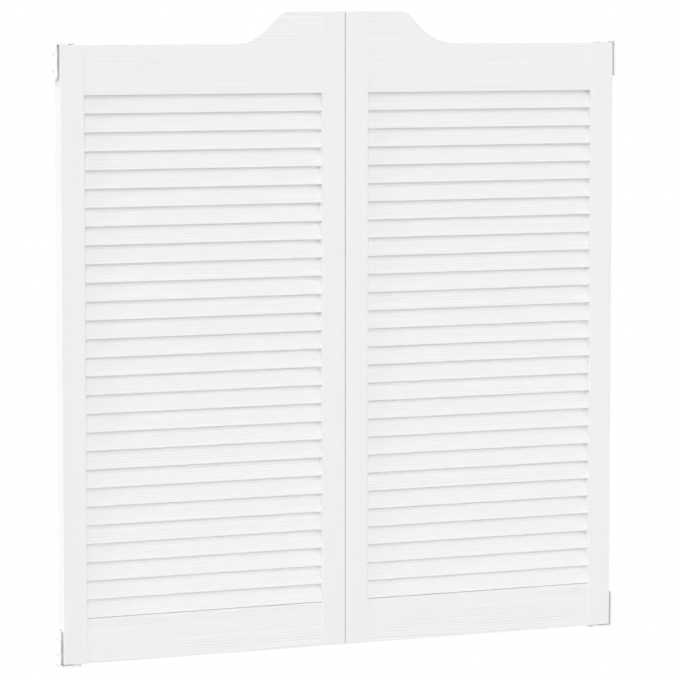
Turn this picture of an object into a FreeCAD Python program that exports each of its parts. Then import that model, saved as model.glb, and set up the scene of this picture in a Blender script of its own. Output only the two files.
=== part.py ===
import FreeCAD, Part
import math
import os

# A pair of louvred cafe doors that swing both ways on double-acting spring pivots.
# Millimetres. X runs across the doorway, the front faces -Y and +Z is up.
# The origin is the middle of the doorway, level with the underside of the bottom brackets.
#
# The left leaf and its hardware are drawn in leaf coordinates: x = 0 at the leaf's outer edge
# and growing towards the meeting edge, y = 0 in the middle of its thickness, z = 0 at its
# bottom edge. The right side is the left side's mirror image.

# Leaf
leaf_width = 424.5
leaf_height = 900.0            # to the crest of the scroll, at the meeting edge
leaf_thickness = 22.0
shoulder_drop = 45.0           # from the crest down to the shoulder
meeting_gap = 1.0              # between the two leaves, which clears their corners as they swing
stile_width = 34.5
bottom_rail_height = 62.1
top_rail_height = 69.2         # at the shoulder
rail_setback = 0.8             # of a rail's faces behind those of the stiles
edge_radius = 0.5              # all long edges are eased with sandpaper

# Scroll cut in the top rail
crest_run = 84.7               # level crest, from the meeting edge to the first curve
crest_radius = 24.0
cove_radius = 74.0
slope_angle = 45.0             # of the straight between the two curves

# Louvre slats
slat_pitch_wanted = 25.8       # the pitch is trimmed to a whole number of slats
slat_thickness = 6.0
slat_edge_radius = 1.0
slat_tilt = 23.0               # from upright, with the lower edge to the front
slat_inset = 2.3               # from a slat's edges to the leaf's faces
slat_sink = 0.9                # how deep the last slat is let into the bottom rail
slot_depth = 7.0               # of the slanting slots in the stiles
slot_clearance = 0.15          # all round a slat in its slots
slat_end_gap = 0.3             # between a slat and the bottom of a slot or groove
slat_sets = 7                  # nodes that the slats of one leaf are shared out over

# Dowels
dowel_radius = 4.0
dowel_length = 40.0
dowel_chamfer = 0.8
dowel_clearance = 0.05
dowel_end_gap = 0.8            # glue space at each end of a dowel
dowel_wall = 4.0               # wood left between a dowel and the next cut
dowel_edge = 9.0               # from the bottom rail's upper edge to the nearest dowel's axis
dowel_spacing = 15.0           # least spacing in a joint
crest_dowel_drop = 20.0        # from the crest to the axis of the dowel under it
crest_dowel_spacing = 35.0     # least spacing in the tall joint under the crest

# Pivots
pivot_inset = 20.0             # from the leaf's outer edge to the pivot axis
top_pin_radius = 3.0
spindle_radius = 4.0
spindle_foot = 5.6             # across the flats of its square foot
running_clearance = 0.05       # radial, where a pin turns in a bush or a plate
thrust_clearance = 0.1         # between the thrust washer and the shoe
washer_radius = 8.0
washer_thickness = 1.2

# Plates let in flush in the leaf's ends
plate_length = 46.0
plate_width = 14.0
plate_thickness = 2.0

# Top bush
bush_wall = 2.5
bush_height = 13.0
pin_end_gap = 1.0

# Spring shoe
shoe_depth = 30.0              # from the leaf's bottom edge to the closed end of the tube
shoe_wall = 1.0
guide_height = 5.0             # of the bush in the closed end
spring_wire_radius = 0.8
spring_coil_gap = 0.5          # between two turns
spring_clearance = 0.45        # radial, to the spindle and to the tube
spring_end_gap = 0.3

# Countersunk wood screws in the plates
screw_radius = 1.6
screw_head_radius = 3.2
screw_length = 16.0
screw_point = 3.5
screw_edge = 5.0               # from each end of a plate to a screw's axis
screw_wall = 0.3               # between a screw's head and the shoe's tube
recess_length = 3.4            # of the cross in the head
recess_width = 0.8
recess_depth = 0.9

# Jamb brackets
bracket_width = 18.0
bracket_thickness = 2.5
bracket_leg = 52.0             # of the upright leg, over the bend
bracket_bend_radius = 1.5
bracket_corner_radius = 4.0
jamb_clearance = 3.5           # from the leaf's outer edge to the bracket's leg
top_clearance = 1.0            # from the top of the stile to the bracket's arm
pin_collar_height = 0.6
pin_collar_radius = 4.2
jamb_hole_radius = 2.1
jamb_hole_spacing = 24.0
jamb_sink_radius = 3.6

# Places closer together than this count as the same
tolerance = 0.01

# Sizes that follow from the ones above
half_thickness = leaf_thickness / 2
half_rail = half_thickness - rail_setback
leaf_bottom_z = bracket_thickness + washer_thickness + thrust_clearance
shoulder_height = leaf_height - shoulder_drop
opening_bottom = bottom_rail_height
opening_top = shoulder_height - top_rail_height
opening_left = stile_width
opening_right = leaf_width - stile_width
slat_count = round((opening_top - opening_bottom) / slat_pitch_wanted)
slat_pitch = (opening_top - opening_bottom) / slat_count
tilt = math.radians(slat_tilt)
slat_flat = slat_thickness / 2 - slat_edge_radius
slat_reach = (half_thickness - slat_inset - slat_edge_radius - slat_flat * math.cos(tilt)) / math.sin(tilt)
slat_half_height = slat_reach * math.cos(tilt) + slat_flat * math.sin(tilt) + slat_edge_radius
bottom_slat_z = opening_bottom - slat_sink + slat_half_height
top_slat_z = bottom_slat_z + (slat_count - 1) * slat_pitch
groove_top = top_slat_z + slat_half_height + slat_end_gap
bush_bore = top_pin_radius + running_clearance
bush_radius = bush_bore + bush_wall
spring_radius = spindle_radius + spring_clearance + spring_wire_radius
shoe_bore = spring_radius + spring_wire_radius + spring_clearance
shoe_radius = shoe_bore + shoe_wall
outer_screw_x = pivot_inset - shoe_radius - screw_wall - screw_head_radius
plate_start = outer_screw_x - screw_edge
jamb_face = -jamb_clearance
jamb_x = jamb_face - bracket_thickness
top_arm_z = shoulder_height + top_clearance
bottom_arm_z = bracket_thickness - leaf_bottom_z


def point(x, y, z):
    return FreeCAD.Vector(x, y, z)


def box(x0, x1, y0, y1, z0, z1):
    return Part.makeBox(x1 - x0, y1 - y0, z1 - z0, point(x0, y0, z0))


def rod(radius, x, y, z0, z1):
    """An upright round bar."""
    return Part.makeCylinder(radius, z1 - z0, point(x, y, z0))


def lying_rod(radius, x0, x1, z):
    """A round bar along X in the middle of the leaf's thickness."""
    return Part.makeCylinder(radius, x1 - x0, point(x0, 0, z), point(1, 0, 0))


def ring(outer_radius, inner_radius, z0, z1):
    """A ring round the pivot axis."""
    outside = rod(outer_radius, pivot_inset, 0, z0, z1)
    return outside.cut(rod(inner_radius, pivot_inset, 0, z0, z1))


def round_edges(solid, radius, wanted):
    """Round the edges whose middle passes the given test."""
    edges = []
    for edge in solid.Edges:
        middle = edge.valueAt((edge.FirstParameter + edge.LastParameter) / 2)
        if wanted(middle):
            edges.append(edge)
    return solid.makeFillet(radius, edges)


def same(a, b):
    return abs(a - b) < tolerance


# --- Slats ---------------------------------------------------------------------------------


def slat_bar(x0, x1, centre_z, grow):
    """A slanting bar with eased edges: a slat, or with some growth the slot it goes in."""
    radius = slat_edge_radius + grow
    half_depth = slat_flat + radius
    half_width = slat_reach + radius
    bar = box(x0, x1, -half_depth, half_depth, -half_width, half_width)

    def long_edge(middle):
        return same(abs(middle.y), half_depth) and same(abs(middle.z), half_width)

    bar = round_edges(bar, radius, long_edge)
    bar.rotate(point(0, 0, 0), point(1, 0, 0), -slat_tilt)
    bar.translate(point(0, 0, centre_z))
    return bar


def slat_heights():
    """Centre heights of the slats, from the top one down."""
    return [top_slat_z - i * slat_pitch for i in range(slat_count)]


def slats():
    """The slats of one leaf, each a solid of its own."""
    reach = slot_depth - slat_end_gap
    return [slat_bar(opening_left - reach, opening_right + reach, z, 0) for z in slat_heights()]


def slat_slots():
    """Slots for the slats' ends, one bar per slat across both stiles."""
    x0 = opening_left - slot_depth
    x1 = opening_right + slot_depth
    return [slat_bar(x0, x1, z, slot_clearance) for z in slat_heights()]


def slat_groove():
    """Groove along the underside of the top rail that the top slat is tucked into."""
    slat_front = (opening_top - top_slat_z) * math.tan(tilt) - slat_thickness / 2 / math.cos(tilt)
    y0 = slat_front - slat_end_gap
    y1 = half_thickness - slat_inset + slat_end_gap
    return box(opening_left, opening_right, y0, y1, opening_bottom, groove_top)


# --- Dowels --------------------------------------------------------------------------------


def spread(low, high, spacing):
    """Evenly spaced heights from low to high, as many as the spacing allows."""
    gaps = int((high - low) / spacing)
    if gaps < 1:
        return [low]
    return [low + (high - low) * i / gaps for i in range(gaps + 1)]


def dowel_places():
    """(x, z) of each dowel's middle, on the joint lines between the stiles and the rails."""
    to_cut = dowel_wall + dowel_radius
    above_shoe = max(shoe_depth, screw_length) + to_cut
    above_groove = groove_top + to_cut
    below_bush = shoulder_height - max(bush_height, screw_length) - to_cut
    bottom = spread(above_shoe, bottom_rail_height - dowel_edge, dowel_spacing)
    top = spread(above_groove, below_bush, dowel_spacing)
    crest = spread(above_groove, leaf_height - crest_dowel_drop, crest_dowel_spacing)
    outer = [(opening_left, z) for z in bottom + top]
    meeting = [(opening_right, z) for z in bottom + crest]
    return outer + meeting


def dowels():
    """The dowels of one leaf, each with chamfered ends."""
    half = dowel_length / 2
    made = []
    for x, z in dowel_places():
        bar = lying_rod(dowel_radius, x - half, x + half, z)
        rims = [edge for edge in bar.Edges if isinstance(edge.Curve, Part.Circle)]
        made.append(bar.makeChamfer(dowel_chamfer, rims))
    return made


def dowel_holes():
    half = dowel_length / 2 + dowel_end_gap
    radius = dowel_radius + dowel_clearance
    return [lying_rod(radius, x - half, x + half, z) for x, z in dowel_places()]


# --- Plates, bushes, spring and screws let in the leaf's ends ------------------------------


def plate_blank(z0, z1):
    """A flat bar with round ends, from z0 to z1, on the leaf's centre line."""
    radius = plate_width / 2
    x0 = plate_start + radius
    x1 = plate_start + plate_length - radius
    middle = box(x0, x1, -radius, radius, z0, z1)
    return middle.fuse([rod(radius, x0, 0, z0, z1), rod(radius, x1, 0, z0, z1)]).removeSplitter()


def screw_places():
    """x of the two screws in a plate, on either side of the pivot."""
    return [outer_screw_x, plate_start + plate_length - screw_edge]


def screw_body(x, face_z, into):
    """A countersunk screw's outline: head flush with face_z, and into is +1 or -1, the way it points."""
    way = point(0, 0, into)
    start = point(x, 0, face_z)
    head_height = screw_head_radius - screw_radius
    head = Part.makeCone(screw_head_radius, screw_radius, head_height, start, way)
    straight = screw_length - head_height - screw_point
    shank = Part.makeCylinder(screw_radius, straight, start + way * head_height, way)
    tip = Part.makeCone(screw_radius, 0, screw_point, start + way * (head_height + straight), way)
    return head.fuse([shank, tip]).removeSplitter()


def screws(face_z, into):
    """The two screws of a plate, each with a cross recess in its head."""
    made = []
    half = recess_length / 2
    side = recess_width / 2
    z0, z1 = sorted([face_z, face_z + into * recess_depth])
    for x in screw_places():
        along = box(x - half, x + half, -side, side, z0, z1)
        across = box(x - side, x + side, -half, half, z0, z1)
        made.append(screw_body(x, face_z, into).cut([along, across]))
    return made


def screw_holes(face_z, into):
    return [screw_body(x, face_z, into) for x in screw_places()]


def top_socket_plate():
    plate = plate_blank(shoulder_height - plate_thickness, shoulder_height)
    hole = rod(bush_radius, pivot_inset, 0, 0, leaf_height)
    return plate.cut([hole] + screw_holes(shoulder_height, -1))


def top_bush():
    return ring(bush_radius, bush_bore, shoulder_height - bush_height, shoulder_height)


def spring_shoe():
    """Plate and closed tube in one, which hold the spring and turn on the spindle."""
    plate = plate_blank(0, plate_thickness)
    tube = rod(shoe_radius, pivot_inset, 0, 0, shoe_depth)
    hollow = rod(shoe_bore, pivot_inset, 0, plate_thickness, shoe_depth - shoe_wall)
    hole = rod(spindle_radius + running_clearance, pivot_inset, 0, 0, plate_thickness)
    return plate.fuse(tube).cut([hollow, hole] + screw_holes(0, 1)).removeSplitter()


def guide_bush():
    """Ring in the closed end of the shoe that steadies the top of the spindle."""
    z1 = shoe_depth - shoe_wall
    return ring(shoe_bore, spindle_radius + running_clearance, z1 - guide_height, z1)


def torsion_spring():
    """Coil between the spindle and the tube, with room on both sides."""
    z0 = plate_thickness + spring_end_gap + spring_wire_radius
    z1 = shoe_depth - shoe_wall - guide_height - spring_end_gap - spring_wire_radius
    path = Part.makeHelix(2 * spring_wire_radius + spring_coil_gap, z1 - z0, spring_radius)
    section = Part.Circle(point(spring_radius, 0, 0), point(0, 1, 0), spring_wire_radius)
    coil = Part.Wire(path).makePipeShell([Part.Wire(section.toShape())], True, True)
    coil.translate(point(pivot_inset, 0, z0))
    return coil


# --- Wooden frame --------------------------------------------------------------------------


def hardware_recesses():
    """Everything that is cut out of the wood for the pivots."""
    top = plate_blank(shoulder_height - plate_thickness, leaf_height)
    bush = rod(bush_radius, pivot_inset, 0, shoulder_height - bush_height, leaf_height)
    bottom = plate_blank(0, plate_thickness)
    tube = rod(shoe_radius, pivot_inset, 0, 0, shoe_depth)
    return [top, bush, bottom, tube] + screw_holes(shoulder_height, -1) + screw_holes(0, 1)


def stile(x0, height, cuts):
    """An upright with its edges eased, but for the short ones beside the rails' ends."""
    blank = box(x0, x0 + stile_width, -half_thickness, half_thickness, 0, height)

    def eased(middle):
        return same(abs(middle.y), half_thickness) or same(middle.x, 0) or same(middle.x, leaf_width)

    return round_edges(blank, edge_radius, eased).cut(cuts)


def top_rail_outline():
    """Underside, ends and scroll of the top rail, as one wire in the plane of its front face."""
    y = -half_rail
    slope = math.radians(slope_angle)
    sine = math.sin(slope)
    cosine = math.cos(slope)
    straight = (shoulder_drop - (crest_radius + cove_radius) * (1 - cosine)) / sine
    crest_x = leaf_width - crest_run
    crest_end = point(crest_x, y, leaf_height)
    crest_centre = point(crest_x, y, leaf_height - crest_radius)
    half_turn = point(-math.sin(slope / 2), 0, math.cos(slope / 2))
    slope_top = crest_centre + point(-sine, 0, cosine) * crest_radius
    slope_foot = slope_top - point(cosine, 0, sine) * straight
    cove_centre = slope_foot + point(-sine, 0, cosine) * cove_radius
    shoulder_end = point(cove_centre.x, y, shoulder_height)
    lower_left = point(opening_left, y, opening_top)
    lower_right = point(opening_right, y, opening_top)
    upper_left = point(opening_left, y, shoulder_height)
    upper_right = point(opening_right, y, leaf_height)
    return Part.Wire([
        Part.LineSegment(lower_left, lower_right).toShape(),
        Part.LineSegment(lower_right, upper_right).toShape(),
        Part.LineSegment(upper_right, crest_end).toShape(),
        Part.Arc(crest_end, crest_centre + half_turn * crest_radius, slope_top).toShape(),
        Part.LineSegment(slope_top, slope_foot).toShape(),
        Part.Arc(slope_foot, cove_centre - half_turn * cove_radius, shoulder_end).toShape(),
        Part.LineSegment(shoulder_end, upper_left).toShape(),
        Part.LineSegment(upper_left, lower_left).toShape(),
    ])


def rail(blank, cuts):
    """A rail with the edges along its faces eased, but not those of its ends."""

    def eased(middle):
        at_end = same(middle.x, opening_left) or same(middle.x, opening_right)
        return same(abs(middle.y), half_rail) and not at_end

    return round_edges(blank, edge_radius, eased).cut(cuts)


def top_rail(cuts):
    blank = Part.Face(top_rail_outline()).extrude(point(0, 2 * half_rail, 0))
    return rail(blank, cuts + [slat_groove()])


def bottom_rail(cuts):
    blank = box(opening_left, opening_right, -half_rail, half_rail, 0, bottom_rail_height)
    seat = slat_bar(opening_left, opening_right, bottom_slat_z, slot_clearance)
    return rail(blank, cuts + [seat])


# --- Jamb brackets, pin and spindle --------------------------------------------------------


def jamb_holes(z0, z1):
    """Two countersunk holes in the middle of a leg from z0 to z1, sunk on the side that faces the leaf."""
    sink_depth = jamb_sink_radius - jamb_hole_radius
    cuts = []
    for z in ((z0 + z1 - jamb_hole_spacing) / 2, (z0 + z1 + jamb_hole_spacing) / 2):
        start = point(jamb_face - sink_depth, 0, z)
        cuts.append(lying_rod(jamb_hole_radius, jamb_x, jamb_face, z))
        cuts.append(Part.makeCone(jamb_hole_radius, jamb_sink_radius, sink_depth, start, point(1, 0, 0)))
    return cuts


def bracket(arm_z, leg_way):
    """An arm that ends round the pivot and a leg on the jamb, bent from one strip.

    arm_z is the arm's face towards the leaf. The leg rises where leg_way is +1 and hangs where it is -1.
    """
    half = bracket_width / 2
    back_z = arm_z - leg_way * bracket_thickness
    end_z = back_z + leg_way * bracket_leg
    flat_z = arm_z + leg_way * bracket_bend_radius
    corners = [
        (pivot_inset, arm_z),
        (jamb_face, arm_z),
        (jamb_face, end_z),
        (jamb_x, end_z),
        (jamb_x, back_z),
        (pivot_inset, back_z),
        (pivot_inset, arm_z),
    ]
    outline = Part.makePolygon([point(x, -half, z) for x, z in corners])
    strip = Part.Face(outline).extrude(point(0, bracket_width, 0))

    def inner_bend(middle):
        return same(middle.x, jamb_face) and same(middle.z, arm_z)

    def outer_bend(middle):
        return same(middle.x, jamb_x) and same(middle.z, back_z)

    def leg_corner(middle):
        return same(middle.z, end_z) and same(abs(middle.y), half)

    strip = round_edges(strip, bracket_bend_radius, inner_bend)
    strip = round_edges(strip, bracket_bend_radius + bracket_thickness, outer_bend)
    strip = round_edges(strip, bracket_corner_radius, leg_corner)
    arm_end = rod(half, pivot_inset, 0, min(arm_z, back_z), max(arm_z, back_z))
    return strip.fuse(arm_end).removeSplitter().cut(jamb_holes(flat_z, end_z))


def top_bracket():
    hole = rod(top_pin_radius, pivot_inset, 0, top_arm_z, top_arm_z + bracket_thickness)
    return bracket(top_arm_z, -1).cut(hole)


def top_pin():
    """Pin riveted flush in the bracket's arm, with a collar under the arm."""
    pin_end = shoulder_height - bush_height + pin_end_gap
    shank = rod(top_pin_radius, pivot_inset, 0, pin_end, top_arm_z + bracket_thickness)
    collar = rod(pin_collar_radius, pivot_inset, 0, top_arm_z - pin_collar_height, top_arm_z)
    return shank.fuse(collar).removeSplitter()


def square_foot():
    """Foot of the spindle, which keeps it from turning in the bracket."""
    half = spindle_foot / 2
    return box(pivot_inset - half, pivot_inset + half, -half, half, -leaf_bottom_z, bottom_arm_z)


def bottom_bracket():
    return bracket(bottom_arm_z, 1).cut(square_foot())


def spindle():
    shaft = rod(spindle_radius, pivot_inset, 0, bottom_arm_z, shoe_depth - shoe_wall - pin_end_gap)
    return shaft.fuse(square_foot()).removeSplitter()


def thrust_washer():
    z1 = bottom_arm_z + washer_thickness
    return ring(washer_radius, spindle_radius + running_clearance, bottom_arm_z, z1)


# --- Whole set -----------------------------------------------------------------------------


def side_nodes():
    """Node name to its solids, for one side, in leaf coordinates."""
    recesses = hardware_recesses()
    holes = dowel_holes()
    slots = slat_slots()
    louvre = slats()
    nodes = {
        "outer_stile": [stile(0, shoulder_height, slots + holes + recesses)],
        "meeting_stile": [stile(opening_right, leaf_height, slots + holes)],
        "top_rail": [top_rail(holes + recesses)],
        "bottom_rail": [bottom_rail(holes + recesses)],
        "dowels": dowels(),
        "top_socket_plate": [top_socket_plate()],
        "top_socket_screws": screws(shoulder_height, -1),
        "top_bush": [top_bush()],
        "spring_shoe": [spring_shoe()],
        "spring_shoe_screws": screws(0, 1),
        "spring_guide_bush": [guide_bush()],
        "torsion_spring": [torsion_spring()],
        "top_bracket": [top_bracket()],
        "top_pin": [top_pin()],
        "bottom_bracket": [bottom_bracket()],
        "spindle": [spindle()],
        "thrust_washer": [thrust_washer()],
    }
    for i in range(slat_sets):
        first = round(i * slat_count / slat_sets)
        last = round((i + 1) * slat_count / slat_sets)
        nodes[f"slats_{i + 1}"] = louvre[first:last]
    return nodes


def write(name, solids):
    shape = solids[0] if len(solids) == 1 else Part.makeCompound(solids)
    shape.exportStep(f"parts/{name}.step")


def main():
    os.makedirs("parts", exist_ok=True)
    to_row = point(-leaf_width - meeting_gap / 2, 0, leaf_bottom_z)
    for name, solids in side_nodes().items():
        left = [solid.translated(to_row) for solid in solids]
        right = [solid.mirror(point(0, 0, 0), point(1, 0, 0)) for solid in left]
        write(f"left_{name}", left)
        write(f"right_{name}", right)


main()
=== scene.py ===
import math
from collections import namedtuple

import bpy
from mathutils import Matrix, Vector


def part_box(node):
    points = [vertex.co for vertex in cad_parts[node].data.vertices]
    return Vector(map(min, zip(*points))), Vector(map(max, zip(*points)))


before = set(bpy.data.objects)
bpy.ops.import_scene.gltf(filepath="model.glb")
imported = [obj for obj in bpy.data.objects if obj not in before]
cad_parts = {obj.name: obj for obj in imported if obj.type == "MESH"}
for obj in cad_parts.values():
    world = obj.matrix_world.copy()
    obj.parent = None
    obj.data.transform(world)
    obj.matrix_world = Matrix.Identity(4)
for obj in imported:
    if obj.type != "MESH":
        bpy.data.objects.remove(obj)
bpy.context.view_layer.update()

# Louvred cafe doors in white-painted pine, hung on double-acting spring pivots.
# Everything is in metres, in the frame of the CAD model: X across the doorway, the front
# towards -Y, Z up.

MM = 0.001
SIDES = ("left", "right")

# Louvre, as it is built in the leaves
SLAT_SETS = 7                  # nodes that hold the slats of one leaf
SLATS_PER_SET = 4
SLAT_TILT = math.radians(23)   # from upright, with the lower edge to the front

# Growth of the pine that the boards are sawn from
RING_SPACING = 2.9 * MM        # between two growth rings, on average
RING_DRIFT = 9.0 * MM          # how far the rings wander sideways along a board
DRIFT_LENGTH = 300.0 * MM      # over which they do
FIBRE_WAVE = 1.2 * MM          # small waves in each ring
FIBRE_WAVE_LENGTH = 40.0 * MM
FIBRE_WAVE_WIDTH = 9.0 * MM
WEAKEST_RING = 0.25            # height of the faintest ring, where the boldest has 1
# Late wood, as shares of a year's growth: where it begins, is full and starts to fall off
LATE_WOOD_BEGINS = 0.30
LATE_WOOD_FULL = 0.80
LATE_WOOD_FALLS = 0.86

# Where the boards lay in the log
FRAME_PITH = 45.0 * MM         # from the middle of a stile or rail back to the log's heart
OUTER_STILE_PITH_SHIFT = 58.0 * MM         # and from there across the board
MEETING_STILE_PITH_SHIFT = -66.0 * MM
TOP_RAIL_PITH_SHIFT = 70.0 * MM
BOTTOM_RAIL_PITH_SHIFT = -62.0 * MM
SLAT_PITH = 32.0 * MM          # from the middle of a slat forwards to the heart
SLAT_PITH_SHIFT = 28.0 * MM    # and from there down its face
SLAT_SPREAD = (1.0, 20.0 * MM, 60.0 * MM)  # how far apart the slats lay: along, through, across

# Painted boards: the paint's light and dark tone, how far the late wood stands up under it, and
# the stretches where the rings stand out: their length, width and how much of the board stays plain
Finish = namedtuple("Finish", "light dark ridge figure_length figure_width plain")
STILE_FINISH = Finish("#f3f3f3", "#eeeeee", 0.05 * MM, 150.0 * MM, 8.0 * MM, 0.46)
TOP_RAIL_FINISH = Finish("#f6f6f6", "#eaeaea", 0.17 * MM, 110.0 * MM, 14.0 * MM, 0.47)
BOTTOM_RAIL_FINISH = Finish("#f8f8f8", "#eaeaea", 0.17 * MM, 140.0 * MM, 20.0 * MM, 0.38)
# The slats' paint tones are set lighter than on the stiles and top rails: painted light, for the extra
# light that the slats' upturned faces catch
SLAT_FINISH_AND_PAINTED_LIGHT = Finish("#f8f8f8", "#ebebeb", 0.13 * MM, 42.0 * MM, 5.0 * MM, 0.43)
FIGURE_EDGE = 0.14             # how softly such a stretch ends
FAINT_FIGURE = 0.05            # share of the rings that still shows outside it
EVEN_TONE = 0.28               # of the paint where no rings stand out, from light to dark

# Brushed paint
BRISTLE_SPACING = 1.1 * MM     # between the lines that the brush leaves
BRISTLE_STROKE = 80.0 * MM     # length of such a line
BRISTLE_HEIGHT = 0.012 * MM
BRISTLE_TONE = 0.25            # how much of the dark tone these lines bring
RING_TONE = 0.75               # and the rings
PAINT_ROUGHNESS = (0.42, 0.52)

NOISE_SPAN = (0.3, 0.7)        # where most values of a noise lie

# View and light
CAMERA_PLACE = (-2.105, -4.767, 0.913)
CAMERA_YAW = 23.79             # degrees to the right of +Y
CAMERA_DIP = 5.20              # degrees below the horizon
CAMERA_LENS = 195.0            # mm
SENSOR_WIDTH = 36.0            # mm
FLOOR_Z = -0.35                # the doors hang clear of the floor
FLOOR_SIZE = 4.0
FLOOR_SHADED_RADIUS = 0.55     # inside it the floor shows its shadows at their strongest
FLOOR_PLAIN_RADIUS = 1.25      # outside it the floor is the white of the backdrop
FLOOR_WHITENING = 0.45         # share of that white inside the shaded radius
FLOOR_BOUNCE = "#b4b4b4"       # the floor's tone for the light that it throws back at the doors
ROOM_LIGHT = 0.35              # of the backdrop on the doors, where its white for the eye is 1
LAMP_DISTANCE = 3.0
LAMPS = (
    # name, degrees to the right of straight in front, degrees up, strength, spread in degrees
    ("front_softbox", -24.0, 30.0, 0.70, 32.0),
    ("front_reflector", -24.0, 0.0, 0.50, 24.0),
    ("front_right_reflector", 25.0, 3.0, 0.57, 16.0),
    ("high_front_softbox", -60.0, 60.0, 0.22, 30.0),
    ("high_left_softbox", -100.0, 50.0, 0.80, 30.0),
    ("left_softbox", -80.0, 5.0, 0.54, 10.0),
    ("left_back_softbox", -97.0, 6.0, 0.66, 14.0),
    ("right_softbox", 60.0, 6.0, 0.23, 20.0),
    ("right_back_softbox", 97.0, 6.0, 0.50, 14.0),
    ("back_softbox", 156.0, 30.0, 0.50, 32.0),
    ("back_reflector", 156.0, 0.0, 0.50, 24.0),
)


# --- Helpers for materials -------------------------------------------------------------------


def colour(code):
    """An sRGB hex code as the linear colour that a shader socket takes."""
    parts = [int(code[i:i + 2], 16) / 255 for i in (1, 3, 5)]
    linear = [p / 12.92 if p <= 0.04045 else ((p + 0.055) / 1.055) ** 2.4 for p in parts]
    return (*linear, 1.0)


def add(tree, kind, inputs=(), **settings):
    """Adds a node with its settings and links.

    Inputs go by name, or in the order of the sockets in use. An input is a value, a socket, or a
    node, which stands for its first output in use.
    """
    node = tree.nodes.new("ShaderNode" + kind)
    for name, value in settings.items():
        setattr(node, name, value)
    in_use = [socket for socket in node.inputs if socket.enabled]
    for key, value in (inputs.items() if isinstance(inputs, dict) else enumerate(inputs)):
        socket = node.inputs[key] if isinstance(key, str) else in_use[key]
        if isinstance(value, bpy.types.Node):
            value = next(output for output in value.outputs if output.enabled)
        if isinstance(value, bpy.types.NodeSocket):
            tree.links.new(value, socket)
        else:
            socket.default_value = value
    return node


def new_material(name):
    """An empty material. Its nodes are added to its tree."""
    material = bpy.data.materials.new(name)
    material.use_nodes = True
    material.node_tree.nodes.clear()
    return material


def per(x, y, z):
    """The factors that turn metres into lengths of x, y and z."""
    return (1 / x, 1 / y, 1 / z)


def put_on(material, node):
    """Gives a material to one node of the CAD model."""
    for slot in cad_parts[node].material_slots:
        slot.material = material


def dress(material, *parts):
    """Gives a material to the named parts of both leaves."""
    for side in SIDES:
        for part in parts:
            put_on(material, f"{side}_{part}")


# --- Painted pine ----------------------------------------------------------------------------


def wandering_rings(tree, place, seed):
    """A place in the log, moved as its growth rings wander and wave."""
    along = add(tree, "VectorMath", (place, (1 / DRIFT_LENGTH, 0, 0)), operation="MULTIPLY")
    drift = add(
        tree,
        "TexNoise",
        {"Vector": along, "W": seed, "Scale": 1.0, "Detail": 1.0},
        noise_dimensions="4D",
    )
    sway = (0, RING_DRIFT, RING_DRIFT)
    swayed = add(
        tree, "VectorMath", (drift.outputs["Color"], sway, place), operation="MULTIPLY_ADD"
    )
    wave_size = per(FIBRE_WAVE_LENGTH, FIBRE_WAVE_WIDTH, FIBRE_WAVE_WIDTH)
    nearby = add(tree, "VectorMath", (place, wave_size), operation="MULTIPLY")
    wave = add(
        tree,
        "TexNoise",
        {"Vector": nearby, "W": seed, "Scale": 1.0, "Detail": 2.0},
        noise_dimensions="4D",
    )
    ripple = (0, FIBRE_WAVE, FIBRE_WAVE)
    return add(
        tree, "VectorMath", (wave.outputs["Color"], ripple, swayed), operation="MULTIPLY_ADD"
    )


def late_wood(tree, place, seed):
    """Height of the late wood at a place in the log, 0 to 1, with the log's heart along X.

    Late wood is the hard, dark part of a growth ring. It builds up slowly towards the bark and
    ends abruptly, and brushing or sanding leaves it standing proud.
    """
    waved = wandering_rings(tree, place, seed)
    across = add(tree, "VectorMath", (waved, (0, 1, 1)), operation="MULTIPLY")
    radius = add(tree, "VectorMath", (across,), operation="LENGTH")
    years = add(tree, "Math", (radius, RING_SPACING), operation="DIVIDE")
    season = add(tree, "Math", (years,), operation="FRACT")
    build_up = add(
        tree,
        "MapRange",
        (season, LATE_WOOD_BEGINS, LATE_WOOD_FULL, 0.0, 1.0),
        interpolation_type="SMOOTHSTEP",
    )
    stop = add(
        tree, "MapRange", (season, LATE_WOOD_FALLS, 1.0, 1.0, 0.0), interpolation_type="SMOOTHSTEP"
    )
    ridge = add(tree, "Math", (build_up, stop), operation="MULTIPLY")
    year = add(tree, "Math", (years,), operation="FLOOR")
    draw = add(tree, "Math", (year, seed), operation="ADD")
    harvest = add(tree, "TexWhiteNoise", (draw,), noise_dimensions="1D")
    strength = add(tree, "MapRange", (harvest.outputs["Value"], 0.0, 1.0, WEAKEST_RING, 1.0))
    return add(tree, "Math", (ridge, strength), operation="MULTIPLY")


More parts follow.
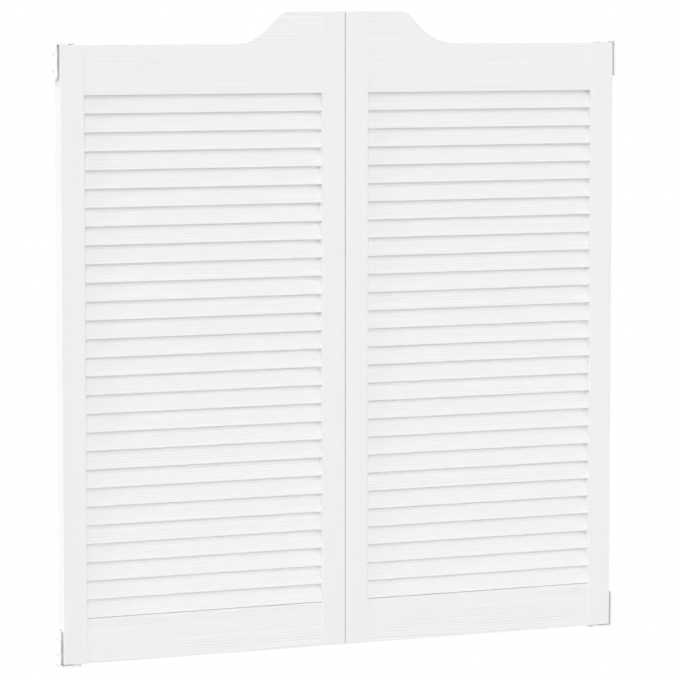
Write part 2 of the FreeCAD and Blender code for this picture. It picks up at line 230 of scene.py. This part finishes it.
def satin_paint(tree, place, log_place, seed, finish):
    """White satin paint, brushed along a pine board whose grain shows through it.

    X of the place runs along the board. The log place is the same with its origin in the log's
    heart. Over the ridges of late wood the paint is thin and greyer, and between them it lies
    thick and white.
    """
    grain = late_wood(tree, log_place, seed)
    patch_size = per(finish.figure_length, finish.figure_width, finish.figure_width)
    patch_place = add(tree, "VectorMath", (place, patch_size), operation="MULTIPLY")
    patches = add(
        tree,
        "TexNoise",
        {"Vector": patch_place, "W": seed, "Scale": 1.0, "Detail": 2.0},
        noise_dimensions="4D",
    )
    share = add(
        tree,
        "MapRange",
        (patches, finish.plain, finish.plain + FIGURE_EDGE, FAINT_FIGURE, 1.0),
        interpolation_type="SMOOTHSTEP",
    )
    shown = add(tree, "Math", (grain, share), operation="MULTIPLY")

    stroke_size = per(BRISTLE_STROKE, BRISTLE_SPACING, BRISTLE_SPACING)
    stroke_place = add(tree, "VectorMath", (place, stroke_size), operation="MULTIPLY")
    strokes = add(
        tree,
        "TexNoise",
        {"Vector": stroke_place, "W": seed, "Scale": 1.0, "Detail": 2.0},
        noise_dimensions="4D",
    )

    even = add(tree, "Math", (share, -EVEN_TONE, EVEN_TONE), operation="MULTIPLY_ADD")
    brushed = add(tree, "Math", (strokes, BRISTLE_TONE, even), operation="MULTIPLY_ADD")
    tone = add(tree, "Math", (shown, RING_TONE, brushed), operation="MULTIPLY_ADD")
    paint = add(
        tree, "Mix", (tone, colour(finish.light), colour(finish.dark)), data_type="RGBA"
    )
    sheen = add(tree, "MapRange", (strokes, *NOISE_SPAN, *PAINT_ROUGHNESS))
    grain_bump = add(
        tree, "Bump", {"Strength": 1.0, "Distance": finish.ridge, "Height": shown}
    )
    brush_bump = add(
        tree,
        "Bump",
        {"Strength": 1.0, "Distance": BRISTLE_HEIGHT, "Height": strokes, "Normal": grain_bump},
    )
    shader = add(
        tree,
        "BsdfPrincipled",
        {"Base Color": paint, "Roughness": sheen, "IOR": 1.5, "Normal": brush_bump},
    )
    add(tree, "OutputMaterial", {"Surface": shader})


def painted_board(node, turn, pith_shift, finish):
    """Satin paint on one sawn board: long, fine lines of late wood, which raking light picks out.

    The turn brings X to the board's length, and the shift moves the log's heart sideways.
    """
    low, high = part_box(node)
    middle = (low + high) / 2
    seed = 10 * middle.x + 3 * middle.z        # differs from board to board
    material = new_material(f"satin_paint_on_pine_{node}")
    tree = material.node_tree
    place = add(
        tree,
        "Mapping",
        {
            "Vector": add(tree, "TexCoord").outputs["Object"],
            "Location": middle,
            "Rotation": turn,
        },
        vector_type="TEXTURE",
    )
    heart = (0, FRAME_PITH, pith_shift)
    log_place = add(tree, "VectorMath", (place, heart), operation="SUBTRACT")
    satin_paint(tree, place, log_place, seed, finish)
    put_on(material, node)


def painted_frames():
    upright = (0, math.radians(-90), 0)
    level = (0, 0, 0)
    for side in SIDES:
        painted_board(f"{side}_outer_stile", upright, OUTER_STILE_PITH_SHIFT, STILE_FINISH)
        painted_board(f"{side}_meeting_stile", upright, MEETING_STILE_PITH_SHIFT, STILE_FINISH)
        painted_board(f"{side}_top_rail", level, TOP_RAIL_PITH_SHIFT, TOP_RAIL_FINISH)
        painted_board(f"{side}_bottom_rail", level, BOTTOM_RAIL_PITH_SHIFT, BOTTOM_RAIL_FINISH)


def painted_slats():
    """Satin paint on planed pine slats: as on the frame but a little lighter, which is painted light for
    their upturned faces, with each slat from another spot of the log.
    """
    low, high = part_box("left_slats_1")
    pitch = (high.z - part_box("left_slats_2")[1].z) / SLATS_PER_SET
    slat_height = high.z - low.z - (SLATS_PER_SET - 1) * pitch
    top_middle = Vector((0, 0, high.z - slat_height / 2))
    step = (0, pitch * math.sin(SLAT_TILT), -pitch * math.cos(SLAT_TILT))

    material = new_material("satin_paint_on_pine_slats_with_painted_light")
    tree = material.node_tree
    # Turned so that Y runs through the slats' thickness and Z up their faces
    turned = add(
        tree,
        "Mapping",
        {
            "Vector": add(tree, "TexCoord").outputs["Object"],
            "Location": top_middle,
            "Rotation": (-SLAT_TILT, 0, 0),
        },
        vector_type="TEXTURE",
    )
    parts = add(tree, "SeparateXYZ", (turned,))
    layers = add(tree, "Math", (parts.outputs["Y"], step[1]), operation="DIVIDE")
    number = add(tree, "Math", (layers,), operation="ROUND")
    offset = add(tree, "VectorMath", {"Vector": step, "Scale": number}, operation="SCALE")
    place = add(tree, "VectorMath", (turned, offset), operation="SUBTRACT")

    leaf = add(tree, "Math", (parts.outputs["X"],), operation="SIGN")
    leaf_seed = 40.5               # beyond the slats' numbers, so that no two slats are alike
    seed = add(tree, "Math", (leaf, leaf_seed, number), operation="MULTIPLY_ADD")
    chance = add(tree, "TexWhiteNoise", (seed,), noise_dimensions="1D")
    moved = add(
        tree, "VectorMath", (chance.outputs["Color"], SLAT_SPREAD, place), operation="MULTIPLY_ADD"
    )
    from_heart = (0, SLAT_PITH, SLAT_PITH_SHIFT)
    log_place = add(tree, "VectorMath", (moved, from_heart), operation="ADD")
    satin_paint(tree, place, log_place, seed, SLAT_FINISH_AND_PAINTED_LIGHT)
    dress(material, *[f"slats_{i + 1}" for i in range(SLAT_SETS)])


# --- Dowels and hardware ---------------------------------------------------------------------


def raw_beech():
    """Beech dowels, turned and left raw: warm pale wood with short dark flecks along the grain."""
    fleck_length = 3.0 * MM
    fleck_width = 0.35 * MM
    fleck_height = 0.05 * MM
    fleck_edge = (0.60, 0.72)      # values of the noise at which a fleck begins and is full
    band_width = 2.5 * MM
    band_length = 20 * band_width
    material = new_material("raw_turned_beech")
    tree = material.node_tree
    place = add(tree, "TexCoord").outputs["Object"]
    fleck_size = per(fleck_length, fleck_width, fleck_width)
    fleck_place = add(tree, "VectorMath", (place, fleck_size), operation="MULTIPLY")
    cells = add(tree, "TexNoise", {"Vector": fleck_place, "Scale": 1.0, "Detail": 1.0})
    flecks = add(
        tree, "MapRange", (cells, *fleck_edge, 0.0, 1.0), interpolation_type="SMOOTHSTEP"
    )
    band_size = per(band_length, band_width, band_width)
    band_place = add(tree, "VectorMath", (place, band_size), operation="MULTIPLY")
    bands = add(tree, "TexNoise", {"Vector": band_place, "Scale": 1.0, "Detail": 2.0})
    wood = add(tree, "Mix", (bands, colour("#c39a6b"), colour("#e0c39a")), data_type="RGBA")
    flecked = add(tree, "Mix", (flecks, wood, colour("#8a5f3c")), data_type="RGBA")
    bump = add(tree, "Bump", {"Strength": 0.6, "Distance": fleck_height, "Height": cells})
    shader = add(
        tree,
        "BsdfPrincipled",
        {"Base Color": flecked, "Roughness": 0.68, "IOR": 1.5, "Normal": bump},
    )
    add(tree, "OutputMaterial", {"Surface": shader})
    dress(material, "dowels")


def white_powder_coat():
    """Powder coat baked on bent steel: an even white with a fine orange peel that softens its gloss."""
    peel_size = 1.6 * MM           # the real 0.8 mm is too fine to show
    peel_height = 0.02 * MM
    cloud_size = 25.0 * MM
    roughness = (0.34, 0.44)
    material = new_material("white_powder_coat_on_steel")
    tree = material.node_tree
    place = add(tree, "TexCoord").outputs["Object"]
    peel = add(
        tree, "TexNoise", {"Vector": place, "Scale": 1 / peel_size, "Detail": 1.0, "Roughness": 0.4}
    )
    cloud = add(tree, "TexNoise", {"Vector": place, "Scale": 1 / cloud_size, "Detail": 1.0})
    tint = add(tree, "Mix", (cloud, colour("#f4f4f4"), colour("#fbfbfb")), data_type="RGBA")
    gloss = add(tree, "MapRange", (peel, *NOISE_SPAN, *roughness))
    bump = add(tree, "Bump", {"Strength": 1.0, "Distance": peel_height, "Height": peel})
    shader = add(
        tree,
        "BsdfPrincipled",
        {"Base Color": tint, "Roughness": gloss, "IOR": 1.5, "Normal": bump},
    )
    add(tree, "OutputMaterial", {"Surface": shader})
    dress(material, "top_bracket", "bottom_bracket")


def zinc_on_rolled_steel():
    """Bright zinc on stamped strip: cool silver, clouded by the bath, with faint lines of the rolling."""
    cloud_size = 9.0 * MM
    line_width = 0.4 * MM          # the real 0.1 mm is too fine to show
    line_length = 30.0 * MM
    line_height = 0.01 * MM
    roughness = (0.24, 0.40)
    material = new_material("bright_zinc_on_stamped_steel")
    tree = material.node_tree
    place = add(tree, "TexCoord").outputs["Object"]
    clouds = add(tree, "TexNoise", {"Vector": place, "Scale": 1 / cloud_size, "Detail": 3.0})
    line_size = per(line_length, line_width, line_width)
    line_place = add(tree, "VectorMath", (place, line_size), operation="MULTIPLY")
    lines = add(tree, "TexNoise", {"Vector": line_place, "Scale": 1.0, "Detail": 1.0})
    zinc = add(tree, "Mix", (clouds, colour("#b9bec6"), colour("#dcdfe2")), data_type="RGBA")
    gloss = add(tree, "MapRange", (clouds, *NOISE_SPAN, *roughness))
    bump = add(tree, "Bump", {"Strength": 0.5, "Distance": line_height, "Height": lines})
    shader = add(
        tree,
        "BsdfPrincipled",
        {"Base Color": zinc, "Metallic": 1.0, "Roughness": gloss, "Normal": bump},
    )
    add(tree, "OutputMaterial", {"Surface": shader})
    dress(material, "top_socket_plate", "spring_shoe")


def zinc_on_turned_screws(side, part):
    """Bright zinc on a pair of headed screws: rings round each screw's axis, left by the heading die."""
    ring_width = 0.3 * MM
    ring_height = 0.01 * MM
    cloud_size = 3.0 * MM
    roughness = (0.22, 0.36)
    low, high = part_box(f"{side}_{part}")
    middle = (low + high) / 2
    half_distance = (high.x - low.x) / 2 - (high.y - low.y) / 2
    material = new_material(f"bright_zinc_on_{side}_{part}")
    tree = material.node_tree
    place = add(
        tree, "VectorMath", (add(tree, "TexCoord").outputs["Object"], middle), operation="SUBTRACT"
    )
    parts = add(tree, "SeparateXYZ", (place,))
    outwards = add(tree, "Math", (parts.outputs["X"],), operation="ABSOLUTE")
    from_axis = add(tree, "Math", (outwards, half_distance), operation="SUBTRACT")
    flat = add(tree, "CombineXYZ", (from_axis, parts.outputs["Y"]))
    radius = add(tree, "VectorMath", (flat,), operation="LENGTH")
    turns = add(tree, "Math", (radius, ring_width / (2 * math.pi)), operation="DIVIDE")
    rings = add(tree, "Math", (turns,), operation="SINE")
    clouds = add(tree, "TexNoise", {"Vector": place, "Scale": 1 / cloud_size, "Detail": 2.0})
    zinc = add(tree, "Mix", (clouds, colour("#b4b9c1"), colour("#d9dcdf")), data_type="RGBA")
    gloss = add(tree, "MapRange", (clouds, *NOISE_SPAN, *roughness))
    bump = add(tree, "Bump", {"Strength": 0.4, "Distance": ring_height, "Height": rings})
    shader = add(
        tree,
        "BsdfPrincipled",
        {"Base Color": zinc, "Metallic": 1.0, "Roughness": gloss, "Normal": bump},
    )
    add(tree, "OutputMaterial", {"Surface": shader})
    put_on(material, f"{side}_{part}")


def turned_steel():
    """Bright steel turned on a lathe: grey metal with the tool's fine rings along the pin."""
    ring_width = 0.35 * MM         # the real 0.1 mm is too fine to show
    ring_height = 0.01 * MM
    haze_size = 2.5 * MM
    roughness = (0.22, 0.34)
    material = new_material("turned_bright_steel")
    tree = material.node_tree
    place = add(tree, "TexCoord").outputs["Object"]
    height = add(tree, "SeparateXYZ", (place,)).outputs["Z"]
    turns = add(tree, "Math", (height, ring_width), operation="DIVIDE")
    groove = add(tree, "Math", (turns,), operation="FRACT")
    haze = add(tree, "TexNoise", {"Vector": place, "Scale": 1 / haze_size, "Detail": 2.0})
    steel = add(tree, "Mix", (haze, colour("#9a9b9d"), colour("#c4c5c6")), data_type="RGBA")
    gloss = add(tree, "MapRange", (haze, *NOISE_SPAN, *roughness))
    bump = add(tree, "Bump", {"Strength": 0.5, "Distance": ring_height, "Height": groove})
    shader = add(
        tree,
        "BsdfPrincipled",
        {"Base Color": steel, "Metallic": 1.0, "Roughness": gloss, "Normal": bump},
    )
    add(tree, "OutputMaterial", {"Surface": shader})
    dress(material, "top_pin", "spindle")


def oiled_spring_wire(side):
    """Drawn spring wire, tempered and oiled: dark metal with drawing lines that follow the coil."""
    line_width = 0.25 * MM         # the real 0.05 mm is too fine to show
    line_height = 0.01 * MM
    temper_size = 4.0 * MM
    roughness = (0.22, 0.42)
    low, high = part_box(f"{side}_torsion_spring")
    middle = (low + high) / 2
    material = new_material(f"oiled_spring_wire_{side}")
    tree = material.node_tree
    place = add(
        tree, "VectorMath", (add(tree, "TexCoord").outputs["Object"], middle), operation="SUBTRACT"
    )
    parts = add(tree, "SeparateXYZ", (place,))
    flat = add(tree, "CombineXYZ", (parts.outputs["X"], parts.outputs["Y"]))
    radius = add(tree, "VectorMath", (flat,), operation="LENGTH")
    section = add(tree, "CombineXYZ", (radius, parts.outputs["Z"]))
    lines = add(tree, "TexNoise", {"Vector": section, "Scale": 1 / line_width, "Detail": 1.0})
    temper = add(tree, "TexNoise", {"Vector": place, "Scale": 1 / temper_size, "Detail": 2.0})
    steel = add(tree, "Mix", (temper, colour("#4a4a4e"), colour("#77726c")), data_type="RGBA")
    gloss = add(tree, "MapRange", (temper, *NOISE_SPAN, *roughness))
    bump = add(tree, "Bump", {"Strength": 0.5, "Distance": line_height, "Height": lines})
    shader = add(
        tree,
        "BsdfPrincipled",
        {"Base Color": steel, "Metallic": 1.0, "Roughness": gloss, "Normal": bump},
    )
    add(tree, "OutputMaterial", {"Surface": shader})
    put_on(material, f"{side}_torsion_spring")


def moulded_nylon():
    """Natural nylon, moulded: a soft, slightly yellow white that lets a little light in."""
    flow_size = 3.0 * MM
    flow_height = 0.02 * MM
    roughness = (0.36, 0.48)
    material = new_material("moulded_natural_nylon")
    tree = material.node_tree
    place = add(tree, "TexCoord").outputs["Object"]
    flow = add(
        tree, "TexNoise", {"Vector": place, "Scale": 1 / flow_size, "Detail": 2.0, "Distortion": 0.6}
    )
    tint = add(tree, "Mix", (flow, colour("#e9e7dd"), colour("#f4f2ea")), data_type="RGBA")
    gloss = add(tree, "MapRange", (flow, *NOISE_SPAN, *roughness))
    bump = add(tree, "Bump", {"Strength": 0.5, "Distance": flow_height, "Height": flow})
    shader = add(
        tree,
        "BsdfPrincipled",
        {
            "Base Color": tint,
            "Roughness": gloss,
            "IOR": 1.53,
            "Subsurface Weight": 0.15,
            "Subsurface Scale": 1.0 * MM,
            "Normal": bump,
        },
    )
    add(tree, "OutputMaterial", {"Surface": shader})
    dress(material, "top_bush", "spring_guide_bush", "thrust_washer")


def finish_hardware():
    raw_beech()
    white_powder_coat()
    zinc_on_rolled_steel()
    turned_steel()
    moulded_nylon()
    for side in SIDES:
        oiled_spring_wire(side)
        for part in ("top_socket_screws", "spring_shoe_screws"):
            zinc_on_turned_screws(side, part)


# --- View, light and floor -------------------------------------------------------------------


def place_camera():
    data = bpy.data.cameras.new("view_of_the_doors")
    data.lens = CAMERA_LENS
    data.sensor_width = SENSOR_WIDTH
    camera = bpy.data.objects.new("view_of_the_doors", data)
    bpy.context.scene.collection.objects.link(camera)
    camera.location = CAMERA_PLACE
    camera.rotation_euler = (math.radians(90 - CAMERA_DIP), 0, math.radians(-CAMERA_YAW))
    bpy.context.scene.camera = camera


def hang_lamps():
    """Far softboxes, each so wide in the sky that its shadows have soft edges."""
    for name, azimuth, elevation, strength, spread in LAMPS:
        turn = math.radians(azimuth)
        rise = math.radians(elevation)
        towards = Vector((
            math.sin(turn) * math.cos(rise),
            -math.cos(turn) * math.cos(rise),
            math.sin(rise),
        ))
        data = bpy.data.lights.new(name, "SUN")
        data.energy = strength
        data.angle = math.radians(spread)
        lamp = bpy.data.objects.new(name, data)
        bpy.context.scene.collection.objects.link(lamp)
        lamp.location = towards * LAMP_DISTANCE
        lamp.rotation_euler = towards.to_track_quat("Z", "Y").to_euler()


def seen_directly(tree):
    """1 where the eye, a reflection or a view through glass meets the surface, else 0."""
    path = add(tree, "LightPath")
    by_eye = path.outputs["Is Camera Ray"]
    in_gloss = path.outputs["Is Glossy Ray"]
    through_glass = path.outputs["Is Transmission Ray"]
    seen = add(tree, "Math", (by_eye, in_gloss), operation="ADD")
    return add(tree, "Math", (seen, through_glass), operation="ADD", use_clamp=True)


def light_the_room():
    """An even studio whose backdrop shows as white, and lights the doors with a share of it."""
    world = bpy.data.worlds.new("white_studio")
    bpy.context.scene.world = world
    world.use_nodes = True
    tree = world.node_tree
    tree.nodes.clear()
    room = add(tree, "Background", {"Color": (1, 1, 1, 1), "Strength": ROOM_LIGHT})
    shown = add(tree, "Background", {"Color": (1, 1, 1, 1), "Strength": 1.0})
    mixed = add(tree, "MixShader", (seen_directly(tree), room, shown))
    add(tree, "OutputWorld", {"Surface": mixed})


def lay_floor():
    """A pale floor that takes the doors' shadow and runs out into the white of the backdrop."""
    speck_size = 5.0 * MM
    bpy.ops.mesh.primitive_plane_add(size=FLOOR_SIZE, location=(0, 0, FLOOR_Z))
    floor = bpy.context.active_object
    floor.name = "studio_floor"
    material = new_material("matt_white_studio_floor")
    tree = material.node_tree
    place = add(tree, "TexCoord").outputs["Object"]
    radius = add(tree, "VectorMath", (place,), operation="LENGTH")
    plain = add(
        tree,
        "MapRange",
        (radius, FLOOR_SHADED_RADIUS, FLOOR_PLAIN_RADIUS, FLOOR_WHITENING, 1.0),
        interpolation_type="SMOOTHSTEP",
    )
    share = add(tree, "Math", (plain, seen_directly(tree)), operation="MULTIPLY")
    specks = add(tree, "TexNoise", {"Vector": place, "Scale": 1 / speck_size, "Detail": 2.0})
    tint = add(tree, "Mix", (specks, colour("#f7f7f7"), colour("#fdfdfd")), data_type="RGBA")
    bounced = add(tree, "LightPath").outputs["Is Diffuse Ray"]
    tamed = add(tree, "Mix", (bounced, tint, colour(FLOOR_BOUNCE)), data_type="RGBA")
    matt = add(tree, "BsdfDiffuse", {"Color": tamed})
    white = add(tree, "Emission", {"Color": (1, 1, 1, 1), "Strength": 1.0})
    mixed = add(tree, "MixShader", (share, matt, white))
    add(tree, "OutputMaterial", {"Surface": mixed})
    floor.data.materials.append(material)


bpy.context.scene.view_settings.view_transform = "Standard"
place_camera()
painted_frames()
painted_slats()
finish_hardware()
hang_lamps()
light_the_room()
lay_floor()
